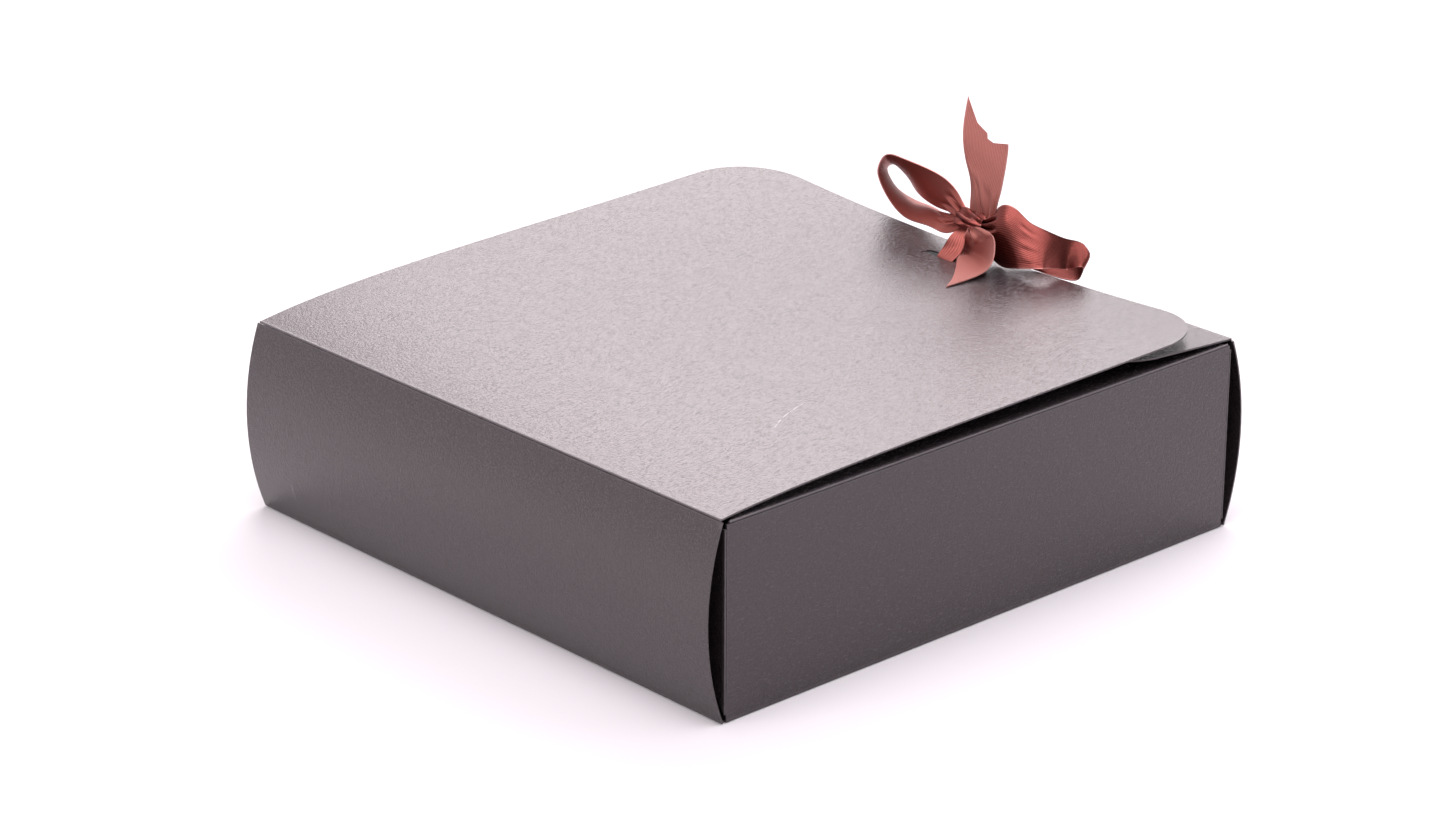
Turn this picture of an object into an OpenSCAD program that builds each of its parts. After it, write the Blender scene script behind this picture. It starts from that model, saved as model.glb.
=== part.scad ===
// Folding card gift box with overlapping lid flaps and a tied ribbon bow.
// The two side walls stand bowed outwards and run on into the lid flaps.
// The two end walls stand flat, with ears round the corners and dust flaps on top.
// Origin at the middle of the underside, +Z up, side walls at -X and +X.

/* [Box] */
// Width between the creases of the two bowed walls
box_w = 240; // [160:1:320]
// Length over the two end walls
box_l = 240; // [180:1:320]
// Height of the bowed walls, from underside to lid crease
box_h = 70; // [50:1:110]
// Thickness of the card
card_t = 0.6; // [0.4:0.05:1]
// Outward bow of the side walls at half height
wall_bow = 6.5; // [3:0.5:10]

/* [Creases] */
// Radius of the rounded score bead on the upper and corner creases
bead_r = 0.42; // [0.3:0.02:0.7]
// Running clearance round a crease
crease_gap = 0.08; // [0.05:0.01:0.2]
// How far the end walls stop below the side walls
end_drop = 1.2; // [1:0.1:3]

/* [Outer lid flap] */
// Reach of the outer flap from its crease
outer_reach = 234; // [150:1:310]
// Corner radius of the outer flap
outer_corner = 28; // [10:1:50]
// Set-back of each flap edge from the end walls
flap_inset = 1; // [0.5:0.5:4]
// Height that the flap springs up to behind its crease
arch_rise = 5; // [3:0.5:8]
// Length over which the flap springs up
arch_run = 45; // [25:1:80]
// Extra spring at the back edge, taken off at the front edge
arch_tilt = 1.4; // [0:0.1:2.5]
// Extra spring at both edges
arch_curl = 1; // [0:0.1:3]
// Sag of the middle of the free edge under the bow
tip_sag = 2; // [0:0.1:2.5]
// Extra lift of the free edge's back corner
tip_tilt = 0.7; // [0:0.1:2]
// Upward curl of the free edge's two corners
tip_curl = 4.3; // [0:0.1:6]

/* [Inner lid flap] */
// Reach of the inner flap from its crease
inner_reach = 60; // [40:1:100]
// Corner radius of the inner flap
inner_corner = 22; // [8:1:36]
// Rise of the middle of the inner flap's free edge
inner_rise = 1.6; // [0.5:0.1:2]
// Upward curl of the inner flap's corners
inner_curl = 2.8; // [0:0.1:4]

/* [Dust flaps and ears] */
// Reach of the dust flaps from the end walls' top creases
dust_reach = 55; // [30:1:75]
// Set-back of a dust flap's ends at its crease
dust_inset = 3; // [2:0.5:8]
// Run of a dust flap's slanted end for each millimetre of reach
dust_slant = 1.42; // [1.4:0.02:2]
// Reach of the corner ears along the side walls
ear_reach = 28; // [15:1:34]
// Clearance between an ear and its side wall
ear_gap = 0.4; // [0.3:0.1:1]
// Height of an ear's foot above the underside
ear_foot = 3; // [2:0.5:8]
// Rise of an ear's lower edge for each millimetre of reach
ear_slant = 1.42; // [1.4:0.02:1.6]
// Drop of an ear's top below the end wall's top crease
ear_drop = 2; // [1:0.5:6]
// Further drop of an ear's top at its tip
ear_taper = 4.5; // [4:0.5:10]

/* [Ribbon] */
// Width of the ribbon
ribbon_w = 22; // [16:1:25]
// Thickness of the ribbon with its gathers
ribbon_t = 0.4; // [0.3:0.05:0.8]
// Width of the ribbon where it is drawn together
gather_w = 8; // [6:0.5:12]
// Clearance between the ribbon and the card or another strand
ribbon_gap = 0.3; // [0.2:0.05:0.6]
// Length of the slot in the outer flap
slot_len = 16; // [12:1:24]
// Width of the slot
slot_w = 2.2; // [1.6:0.1:4]
// Distance of the slot from the free edge
slot_back = 14; // [10:1:30]
// Place of the slot's middle along the flap
slot_y = 1.5; // [-30:0.5:30]
// Shift of the strand's top along the knot, away from the lying tail
stem_shift = 3; // [2:0.5:4]

/* [Knot] */
// Set-back of the knot from the flap's free edge
knot_back = 4; // [2:0.5:12]
// Place of the knot along the flap
knot_y = -2.5; // [-30:0.5:30]
// Height of the knot's middle above the flap
knot_lift = 12; // [10:0.5:18]
// Length of the knot along the bow
knot_len = 13; // [10:0.5:18]
// Radius of the knot
knot_r = 3.6; // [3:0.1:5]
// Number of gathers round the knot
knot_pleats = 9; // [5:1:12]
// Depth of the gathers
knot_pleat = 0.4; // [0.2:0.05:0.8]

/* [Bow loops and tails] */
// Heading that the bow faces, in degrees from +X
bow_turn = 227; // [200:1:250]
// Length of the back loop
back_loop_len = 42; // [30:1:60]
// Rise of the back loop's end above the knot
back_loop_rise = 8; // [0:0.5:16]
// Opening of the back loop's near rim
back_loop_open = 22; // [16:1:34]
// Share of the near rim's opening that is left at the knot
back_loop_neck = 0.55; // [0.2:0.05:0.8]
// Opening of the back loop's far rim
back_loop_far = 17; // [10:1:24]
// Length of the front loop
front_loop_len = 51; // [36:1:64]
// Opening of the front loop
front_loop_open = 13; // [10:1:18]
// Share of the front loop's opening that is left at the knot
front_loop_neck = 0.1; // [0:0.05:0.3]
// Lean of the front loop's band at its end, in degrees
front_loop_lean = 40; // [0:1:60]
// Rise of the front loop's end above its root
front_loop_rise = 3; // [0:0.5:10]
// Droop of the front loop's returning strand
front_loop_droop = 2.5; // [0:0.5:3]
// Length of the standing tail along its long edge
tall_tail_len = 42; // [26:1:60]
// Length that the slanted cut takes off the standing tail's short edge
tall_tail_cut = 14; // [0:1:24]
// Outward swing of the standing tail's sides
tall_tail_flare = 3; // [0:0.5:6]
// Length of the lying tail
low_tail_len = 38; // [24:1:46]
// Heading of the lying tail, in degrees from +X
low_tail_turn = 212; // [180:1:240]
// Sideways curl of the lying tail's outer edge
low_tail_curl = 20; // [8:1:24]
// Lift of the lying tail's outer edge above its trough
low_tail_cup = 5; // [2:0.5:6]

/* [Hidden] */
// Node to draw, or all of them
$fn = 96;

card_color = [0.22, 0.2, 0.21];
ribbon_color = [0.6, 0.29, 0.26];

// Crease axes, at half thickness of the card
axis_x = box_w / 2 - card_t / 2;
axis_y = box_l / 2 - card_t / 2;
foot_z = card_t / 2;
lid_z = box_h - card_t / 2;
end_z = box_h - end_drop - card_t / 2;
bead_clear = bead_r + crease_gap;
// Rounded foot of a wall, a little inside the card's faces
foot_r = 0.45 * card_t;

// Arc of a bowed wall between its two crease axes
wall_chord = lid_z - foot_z;
wall_arc_r = (wall_chord * wall_chord / 4 + wall_bow * wall_bow) / (2 * wall_bow);
wall_half = asin(wall_chord / (2 * wall_arc_r));
wall_trim = 180 / PI * bead_clear / wall_arc_r;

// Corner ears stand just inside the bowed walls
ear_x = box_w / 2 - card_t - ear_gap - bead_r;
end_half = ear_x - bead_clear;

flap_half = box_l / 2 - flap_inset;
grid_rows = 22;
grid_cols = 20;
strip_rows = 40;
strip_cols = 6;

function unit(v) = v / norm(v);
function mix(a, b, t) = a + (b - a) * t;
function hold(i, n) = max(0, min(n - 1, i));
function bezier(p, u) = pow(1 - u, 3) * p[0] + 3 * u * pow(1 - u, 2) * p[1]
    + 3 * u * u * (1 - u) * p[2] + pow(u, 3) * p[3];

// Normal of a grid of points, rows crossed with columns
function grid_normal(g, i, j) =
    unit(cross(g[hold(i + 1, len(g))][j] - g[hold(i - 1, len(g))][j],
        g[i][hold(j + 1, len(g[0]))] - g[i][hold(j - 1, len(g[0]))]));

// Sheet of even thickness t about a grid of middle points
module sheet(grid, t) {
    n = len(grid);
    m = len(grid[0]);
    low = n * m;
    upper = [for (i = [0:n - 1]) for (j = [0:m - 1]) grid[i][j] + grid_normal(grid, i, j) * t / 2];
    lower = [for (i = [0:n - 1]) for (j = [0:m - 1]) grid[i][j] - grid_normal(grid, i, j) * t / 2];
    cells = [for (i = [0:n - 2]) for (j = [0:m - 2]) let (a = i * m + j) [a, a + 1, a + m + 1, a + m]];
    rim = concat(
        [for (i = [0:n - 2]) [i * m, (i + 1) * m]],
        [for (j = [0:m - 2]) [(n - 1) * m + j, (n - 1) * m + j + 1]],
        [for (i = [0:n - 2]) [(n - i) * m - 1, (n - i - 1) * m - 1]],
        [for (j = [0:m - 2]) [m - 1 - j, m - 2 - j]]);
    faces = concat(
        [for (c = cells) [c[0], c[1], c[2]]],
        [for (c = cells) [c[0], c[2], c[3]]],
        [for (c = cells) [low + c[2], low + c[1], low + c[0]]],
        [for (c = cells) [low + c[3], low + c[2], low + c[0]]],
        [for (e = rim) [e[0], e[1], low + e[1]]],
        [for (e = rim) [e[0], low + e[1], low + e[0]]]);
    polyhedron(points = concat(upper, lower), faces = faces, convexity = 8);
}

// Half width of a flap with rounded corners at distance q from its crease
function flap_side(q, reach, corner) =
    q < reach - corner ? flap_half
    : flap_half - corner + sqrt(max(0, corner * corner - pow(q - reach + corner, 2)));

// Distances of a flap's rows: even along the sides, closer round the corners
function flap_rows(reach, corner) = concat(
    [for (i = [0:grid_rows - 9]) (reach - corner) * i / (grid_rows - 8)],
    [for (i = [0:8]) reach - corner + corner * sin(90 * i / 8)]);

// Height of the outer flap's middle surface above its crease
function outer_rise(q, v) =
    (arch_rise + arch_tilt * v + arch_curl * v * v) * (1 - exp(-q / arch_run))
    + pow(q / outer_reach, 3) * (tip_curl * v * v + tip_tilt * v - tip_sag);

// Height of the inner flap's middle surface above its crease
function inner_lift(q, v) = q / inner_reach * (inner_rise + inner_curl * v * v);

// Rounded score bead along a crease that runs in Y
module crease_bead(length, r) {
    rotate([90, 0, 0])
        cylinder(h = length, r = r, center = true);
}

module base_panel() {
    color(card_color)
        translate([-axis_x + card_t / 2 + crease_gap, -axis_y + card_t / 2 + crease_gap, 0])
            cube([2 * axis_x - card_t - 2 * crease_gap, 2 * axis_y - card_t - 2 * crease_gap, card_t]);
}

// Section of the bowed wall on the -X side: a card arc with a rounded foot
module wall_section() {
    centre = [-axis_x - wall_bow + wall_arc_r, (foot_z + lid_z) / 2];
    far = 2 * wall_arc_r;
    low_a = 180 + wall_half;
    top_a = 180 - wall_half + wall_trim;
    translate([-axis_x, foot_z])
        circle(r = foot_r);
    translate(centre)
        intersection() {
            difference() {
                circle(r = wall_arc_r + card_t / 2);
                circle(r = wall_arc_r - card_t / 2);
            }
            polygon([[0, 0], [far * cos(low_a), far * sin(low_a)], [far * cos(top_a), far * sin(top_a)]]);
        }
}

module bowed_wall() {
    translate([0, box_l / 2, 0])
        rotate([90, 0, 0])
            linear_extrude(height = box_l)
                wall_section();
}

module hinge_wall() {
    color(card_color)
        bowed_wall();
}

module far_wall() {
    color(card_color)
        mirror([1, 0, 0])
            bowed_wall();
}

// End wall on the -Y side: a flat panel with a rounded foot
module end_wall() {
    rotate([90, 0, 90])
        linear_extrude(height = 2 * end_half, center = true)
            union() {
                translate([-axis_y, foot_z])
                    circle(r = foot_r);
                translate([-axis_y - card_t / 2, foot_z])
                    square([card_t, end_z - bead_clear - foot_z]);
            }
}

module front_wall() {
    color(card_color)
        end_wall();
}

module back_wall() {
    color(card_color)
        mirror([0, 1, 0])
            end_wall();
}

// Corner ear at -X and -Y, folded back along the inside of the bowed wall
module ear() {
    top = end_z - ear_drop;
    outline = [[0, ear_foot], [ear_reach, ear_foot + ear_slant * ear_reach],
        [ear_reach, top - ear_taper], [0, top]];
    translate([-ear_x, -axis_y, 0]) {
        translate([-card_t / 2, 0, 0])
            rotate([90, 0, 90])
                linear_extrude(height = card_t)
                    polygon(outline);
        translate([0, 0, ear_foot])
            cylinder(h = top - ear_foot, r = bead_r);
    }
}

module front_left_ear() {
    color(card_color)
        ear();
}

module front_right_ear() {
    color(card_color)
        mirror([1, 0, 0])
            ear();
}

module back_left_ear() {
    color(card_color)
        mirror([0, 1, 0])
            ear();
}

module back_right_ear() {
    color(card_color)
        mirror([1, 0, 0])
            mirror([0, 1, 0])
                ear();
}

// Dust flap on the -Y side: slanted ends keep it under the lid flaps as they open
module dust_flap() {
    root = box_w / 2 - dust_inset;
    tip = root - dust_slant * dust_reach;
    translate([0, -axis_y, end_z]) {
        translate([0, 0, -card_t / 2])
            linear_extrude(height = card_t)
                polygon([[-root, 0], [root, 0], [tip, dust_reach], [-tip, dust_reach]]);
        rotate([0, 0, 90])
            crease_bead(2 * root, bead_r);
    }
}

module front_dust_flap() {
    color(card_color)
        dust_flap();
}

module back_dust_flap() {
    color(card_color)
        mirror([0, 1, 0])
            dust_flap();
}

module outer_flap() {
    rows = flap_rows(outer_reach, outer_corner);
    grid = [for (q = rows) [for (j = [0:grid_cols])
        let (v = 2 * j / grid_cols - 1, y = v * flap_side(q, outer_reach, outer_corner))
            [-axis_x + q, y, lid_z + outer_rise(q, y / flap_half)]]];
    color(card_color)
        difference() {
            union() {
                sheet(grid, card_t);
                translate([-axis_x, 0, lid_z])
                    crease_bead(2 * flap_half, bead_r);
            }
            translate([-axis_x + outer_reach - slot_back - slot_w / 2, slot_y - slot_len / 2, box_h])
                cube([slot_w, slot_len, arch_rise + tip_curl]);
        }
}

module inner_flap() {
    rows = flap_rows(inner_reach, inner_corner);
    grid = [for (q = rows) [for (j = [0:grid_cols])
        let (v = 1 - 2 * j / grid_cols, y = v * flap_side(q, inner_reach, inner_corner))
            [axis_x - q, y, lid_z + inner_lift(q, y / flap_half)]]];
    color(card_color)
        union() {
            sheet(grid, card_t);
            translate([axis_x, 0, lid_z])
                crease_bead(2 * flap_half, bead_r);
        }
}

// Points and directions of the ribbon's route
bow_face = [cos(bow_turn), sin(bow_turn), 0];
slot_x = -axis_x + outer_reach - slot_back;
edge_x = -axis_x + outer_reach;
knot_x = edge_x - knot_back;
strap_y = (slot_y + knot_y) / 2;
slot_v = strap_y / flap_half;
slot_top = lid_z + outer_rise(outer_reach - slot_back, slot_v) + card_t / 2;
edge_mid = lid_z + outer_rise(outer_reach, slot_v);
knot_at = [knot_x, knot_y, slot_top + knot_lift];

// Ribbon surface between two edge curves, with an even bulge across its width
function band(edge_a, edge_b, bulge) =
    [for (i = [0:len(edge_a) - 1]) let (
            along = edge_a[hold(i + 1, len(edge_a))] - edge_a[hold(i - 1, len(edge_a))],
            out = unit(cross(along, edge_b[i] - edge_a[i])))
        [for (j = [0:strip_cols]) let (v = j / strip_cols)
            mix(edge_a[i], edge_b[i], v) + out * bulge * 4 * v * (1 - v)]];

// Ribbon surface along a middle line, with a width and a width direction at each station
function strip(path, widths, side) =
    band([for (i = [0:len(path) - 1]) path[i] - side * widths[i] / 2],
        [for (i = [0:len(path) - 1]) path[i] + side * widths[i] / 2], 0);

// Points along a tail's edge
function bezier_line(p) = [for (i = [0:strip_rows / 2]) bezier(p, 2 * i / strip_rows)];

// Strand from the knot down into the slot
module ribbon_stem() {
    from = knot_at + [-knot_r - ribbon_gap, stem_shift, -knot_r / 2];
    mouth = [slot_x, strap_y, slot_top + card_t];
    below = [slot_x, strap_y, slot_top - 2 * card_t - ribbon_gap];
    slack = [ribbon_t, 0, 0];
    bend = [from, mix(from, mouth, 0.3) - 2 * slack, mix(from, mouth, 0.8) - slack, mouth];
    steps = 10;
    route = concat([for (i = [0:steps - 1]) bezier(bend, i / (steps - 1))], [below]);
    spread = [for (i = [0:steps]) gather_w * mix(0.8, 1.3, sin(90 * i / steps))];
    color(ribbon_color)
        sheet(strip(route, spread, [0, 1, 0]), ribbon_t);
}

// Strand under the flap and round its free edge, back up to the knot
module ribbon_under() {
    clear = card_t / 2 + ribbon_gap + ribbon_t / 2;
    start_q = outer_reach - slot_back + ribbon_t + ribbon_gap;
    steps = 8;
    to = knot_at + [0, 0, -knot_r - knot_pleat - ribbon_gap];
    top = [edge_x + clear, strap_y, edge_mid + clear];
    bend = [top - [0, 0, clear], top + [0, 0, clear], mix(top, to, 0.7), to];
    route = concat(
        [for (i = [0:steps]) let (q = mix(start_q, outer_reach, i / steps))
            [-axis_x + q, strap_y, lid_z + outer_rise(q, slot_v) - clear]],
        [for (i = [1:steps]) let (a = 90 * i / steps)
            [edge_x + clear * sin(a), strap_y, edge_mid - clear * cos(a)]],
        [for (i = [1:steps]) bezier(bend, i / steps)]);
    spread = [for (i = [0:len(route) - 1]) gather_w * mix(1.3, 0.8, i / (len(route) - 1))];
    color(ribbon_color)
        sheet(strip(route, spread, [0, 1, 0]), ribbon_t);
}

// Gathered knot: a barrel along the bow with pleats round it
module ribbon_knot() {
    rings = 14;
    sides = 4 * knot_pleats;
    points = [for (i = [0:rings]) for (k = [0:sides - 1]) let (
            s = -1 + 2 * i / rings,
            a = 360 * k / sides,
            r = (knot_r + knot_pleat * cos(knot_pleats * a)) * (0.55 + 0.45 * sqrt(1 - s * s)))
        knot_at + [r * cos(a), s * knot_len / 2, r * sin(a)]];
    walls = [for (i = [0:rings - 1]) for (k = [0:sides - 1]) let (
            a = i * sides + k, b = i * sides + (k + 1) % sides)
        [a, b, b + sides, a + sides]];
    faces = concat(
        [for (w = walls) [w[0], w[1], w[2]]],
        [for (w = walls) [w[0], w[2], w[3]]],
        [[for (k = [0:sides - 1]) sides - 1 - k]],
        [[for (k = [0:sides - 1]) rings * sides + k]]);
    color(ribbon_color)
        polyhedron(points = points, faces = faces, convexity = 6);
}

// Share of a loop's length reached at station u, and its opening there, with the share left at the knot
loop_start = 0.025;
function loop_stations() = [for (i = [0:strip_rows]) mix(loop_start, 1 - loop_start, i / strip_rows)];
function loop_reach(u) = (1 - cos(360 * u)) / 2;
function loop_open(u, neck) = loop_reach(u) > 0.5 ? sin(360 * u)
    : sign(sin(360 * u)) * mix(neck, 1, pow(abs(sin(360 * u)), 1.5));
function loop_pinch(u) = sin(360 * u) * pow(sin(180 * u), 2);
function loop_width(u) = mix(gather_w, ribbon_w, min(1, pow(4 * loop_reach(u), 0.7)));

// Cone-shaped loop at the back: wide near rim, far rim pinched to the knot
module ribbon_back_loop() {
    along = [0, back_loop_len, back_loop_rise];
    raise = unit([0, -back_loop_rise, back_loop_len]);
    across = unit([-bow_face[0], -bow_face[1], -0.4]);
    root = knot_at + [0, knot_len / 2, 0];
    stations = loop_stations();
    near = [for (u = stations) root + along * loop_reach(u)
        - raise * back_loop_open / 2 * loop_open(u, back_loop_neck) - across * loop_width(u) * 0.45];
    far = [for (u = stations) root + along * loop_reach(u)
        - raise * back_loop_far / 2 * loop_pinch(u) + across * loop_width(u) * 0.45];
    color(ribbon_color)
        sheet(band(near, far, 0.5), ribbon_t);
}

// Flattened loop at the front: a standing band that leans over at its end and returns lower
module ribbon_front_loop() {
    root = knot_at + [0, -knot_len / 2 - 2 * ribbon_gap, -knot_r / 3];
    stations = loop_stations();
    swell = [for (u = stations) -front_loop_open / 2 * loop_open(u, front_loop_neck)];
    climb = [for (u = stations)
        front_loop_rise * pow(loop_reach(u), 1.5) + front_loop_droop * min(0, sin(360 * u))];
    middle = [for (i = [0:strip_rows])
        root + [swell[i], -front_loop_len * loop_reach(stations[i]), climb[i]]];
    lean = [for (u = stations) front_loop_lean * pow(sin(180 * u), u < 0.5 ? 4 : 0.8)];
    stand = [for (a = lean) bow_face * sin(a) + [0, 0, cos(a)]];
    upper = [for (i = [0:strip_rows]) middle[i] + stand[i] * loop_width(stations[i]) / 2];
    lower = [for (i = [0:strip_rows]) middle[i] - stand[i] * loop_width(stations[i]) / 2];
    color(ribbon_color)
        sheet(band(lower, upper, 0.8), ribbon_t);
}

// Standing tail with a slanted cut
module ribbon_tall_tail() {
    root = knot_at + [0, -gather_w / 2, knot_r + knot_pleat + ribbon_gap];
    half = [0, ribbon_w / 2, 0];
    neck = [0, gather_w / 2, 0];
    swing = [0, tall_tail_flare, 0];
    long_top = root + half - swing + [0, 0, tall_tail_len];
    short_top = root - half + [0, 0, tall_tail_len - tall_tail_cut];
    long_edge = [root + neck, root + neck + swing / 2 + [0, 0, tall_tail_len / 3],
        long_top + swing - [0, 0, tall_tail_len / 3], long_top];
    short_edge = [root - neck, root - neck - swing + [0, 0, tall_tail_len / 4],
        short_top - [0, 0, tall_tail_len / 4], short_top];
    color(ribbon_color)
        sheet(band(bezier_line(long_edge), bezier_line(short_edge), -tall_tail_flare / 3), ribbon_t);
}

// Lying tail that curls up from the flap like a trough
module ribbon_low_tail() {
    ahead = [cos(low_tail_turn), sin(low_tail_turn), 0];
    root = knot_at + bow_face * (knot_r + knot_pleat + ribbon_gap) - [0, stem_shift / 2, knot_r];
    rest = slot_top + ribbon_gap + ribbon_t + low_tail_cup / 5;
    end = [root[0], root[1], rest] + ahead * low_tail_len;
    lift = [0, 0, low_tail_cup];
    curl = [0, -low_tail_curl, 0];
    right_edge = [root + lift / 3, root + ahead * low_tail_len / 4 + curl + lift,
        end - ahead * low_tail_len / 2 + curl / 2 + lift / 2, end + curl / 8];
    left_edge = [root - lift / 6, mix(root, end, 0.2) - lift / 3,
        mix(root, end, 0.6) - lift / 6, end - curl / 4];
    color(ribbon_color)
        sheet(band(bezier_line(left_edge), bezier_line(right_edge), -low_tail_cup / 5), ribbon_t);
}

base_panel();
hinge_wall();
far_wall();
front_wall();
back_wall();
front_left_ear();
front_right_ear();
back_left_ear();
back_right_ear();
front_dust_flap();
back_dust_flap();
outer_flap();
inner_flap();
ribbon_stem();
ribbon_under();
ribbon_knot();
ribbon_back_loop();
ribbon_front_loop();
ribbon_tall_tail();
ribbon_low_tail();
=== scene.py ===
"""Folding card gift box with a tied ribbon bow, dressed for rendering.

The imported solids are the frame. The base, walls, ears and dust flaps keep their solids and
get the card's finish. The two lid flaps and every length of ribbon are worked out again as
fine surfaces, from the same sizes, and ride on the bodies of the solids they replace.
Sizes in the classes are in millimetres, but for those of the lamps and the sweep's fade,
which are in metres as Blender's scene is.
"""

from __future__ import annotations

import functools
import logging
import math
from dataclasses import dataclass
from enum import Enum
from typing import Any, Sequence, Union

import bpy
import numpy as np
from mathutils import Matrix, Vector

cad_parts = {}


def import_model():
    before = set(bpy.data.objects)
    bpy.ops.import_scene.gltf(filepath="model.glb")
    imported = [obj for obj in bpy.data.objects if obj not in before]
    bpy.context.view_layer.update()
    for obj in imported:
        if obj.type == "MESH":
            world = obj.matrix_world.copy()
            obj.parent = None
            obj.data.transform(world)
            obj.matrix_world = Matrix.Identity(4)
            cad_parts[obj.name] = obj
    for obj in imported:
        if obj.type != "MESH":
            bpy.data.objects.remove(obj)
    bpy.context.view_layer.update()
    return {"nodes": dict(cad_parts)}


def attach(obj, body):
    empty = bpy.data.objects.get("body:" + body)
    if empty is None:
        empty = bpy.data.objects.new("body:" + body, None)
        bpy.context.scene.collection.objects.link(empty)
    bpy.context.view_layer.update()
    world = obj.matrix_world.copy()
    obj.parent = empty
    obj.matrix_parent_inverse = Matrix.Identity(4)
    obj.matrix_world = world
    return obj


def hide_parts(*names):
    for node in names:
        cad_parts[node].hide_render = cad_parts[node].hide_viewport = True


log = logging.getLogger("gift_box")

MM = 0.001
SHARP_ANGLE = math.radians(50)

Pair = tuple[float, float]
Triple = tuple[float, float, float]
Colour = Triple
Array = np.ndarray
Values = Union[dict, None]


class Held(Enum):
    """How a length of ribbon is held."""

    GATHERED = "gathered"
    FOLDED = "folded"
    LAID = "laid"


class Slot(Enum):
    """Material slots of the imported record."""

    CARD = "card"
    RIBBON = "ribbon"


class Mark(Enum):
    """Which handling marks a card finish carries."""

    PLAIN = "plain"
    LID = "lid"
    SIDE = "side"
    END = "end"


# Plain geometry on whole arrays


def unit(v: Array) -> Array:
    """Vectors scaled to length one."""
    return v / np.linalg.norm(v, axis=-1, keepdims=True)


def mix(a: Any, b: Any, t: Any) -> Any:
    """Straight blend from a at t = 0 to b at t = 1."""
    return a + (b - a) * t


def ease(low: float, high: float, x: Array) -> Array:
    """Smooth step from 0 at low to 1 at high, which may be the smaller."""
    t = np.clip((x - low) / (high - low), 0.0, 1.0)
    return t * t * (3.0 - 2.0 * t)


def point(*xyz: float) -> Array:
    """A point or direction as an array."""
    return np.array(xyz, float)


def bezier(p: Sequence[Array], u: Array) -> Array:
    """Cubic curve through p[0] and p[3], drawn towards p[1] and p[2].

    Args:
        p: Four control points.
        u: Shares of the way, from 0 to 1.

    Returns:
        One point per share.
    """
    u = u[:, None]
    return (
        (1 - u) ** 3 * p[0]
        + 3 * u * (1 - u) ** 2 * p[1]
        + 3 * u**2 * (1 - u) * p[2]
        + u**3 * p[3]
    )


def thread(points: Array, knots: Array, at: Array) -> Array:
    """Natural cubic spline through points.

    Between two knots the curve is the cubic with the second derivatives that keep its
    slope unbroken, and these are nil at both ends.

    Args:
        points: Points, or whole lines of them, along the first axis.
        knots: Rising parameter of each point.
        at: Parameters to work out.

    Returns:
        One point, or line of points, per parameter.
    """
    h = np.diff(knots)
    flat = points.reshape(len(points), -1)
    slope = np.diff(flat, axis=0) / h[:, None]
    system = np.eye(len(points))
    pull = np.zeros_like(flat)
    inner = np.arange(1, len(points) - 1)
    system[inner, inner - 1] = h[:-1]
    system[inner, inner] = 2 * (h[:-1] + h[1:])
    system[inner, inner + 1] = h[1:]
    pull[1:-1] = 6 * np.diff(slope, axis=0)
    bend = np.linalg.solve(system, pull)
    i = np.clip(np.searchsorted(knots, at, side="right") - 1, 0, len(h) - 1)
    a, b, step = (knots[i + 1] - at)[:, None], (at - knots[i])[:, None], h[i][:, None]
    curve = (bend[i] * a**3 + bend[i + 1] * b**3) / (6 * step)
    curve = curve + (flat[i] / step - bend[i] * step / 6) * a
    curve = curve + (flat[i + 1] / step - bend[i + 1] * step / 6) * b
    return curve.reshape(len(at), *points.shape[1:])


def run_of(line: Array) -> Array:
    """Distance travelled along a line of points, from 0 at its first point."""
    steps = np.linalg.norm(np.diff(line, axis=0), axis=1)
    return np.concatenate([[0.0], np.cumsum(steps)])


def grid_normals(grid: Array) -> Array:
    """Unit normals of a grid of points: the row direction crossed with the column direction."""
    return unit(np.cross(np.gradient(grid, axis=0), np.gradient(grid, axis=1)))


def folded(edge_a: Array, edge_b: Array, layers: float, sink: float, cols: int) -> Array:
    """Ribbon folded lengthwise into layers between two edge lines.

    The place across swings from edge_a to edge_b and back as (1 - cos(pi layers v)) / 2,
    while each layer lies deeper than the last along the normal.

    Args:
        edge_a: Points of one edge.
        edge_b: As many points of the other edge.
        layers: Number of layers.
        sink: Distance from one layer to the next.
        cols: Number of points in a row.

    Returns:
        Grid of points, one row per pair of edge points.
    """
    v = np.linspace(0.0, 1.0, cols)[None, :, None]
    share = (1 - np.cos(math.pi * layers * v)) / 2
    out = unit(np.cross(np.gradient((edge_a + edge_b) / 2, axis=0), edge_b - edge_a))
    return mix(edge_a[:, None, :], edge_b[:, None, :], share) - out[:, None, :] * sink * layers * v


def shifted(grid: Array, height: Array) -> Array:
    """Grid moved along its own normals by a height at each point."""
    return grid + grid_normals(grid) * height[..., None]


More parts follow.
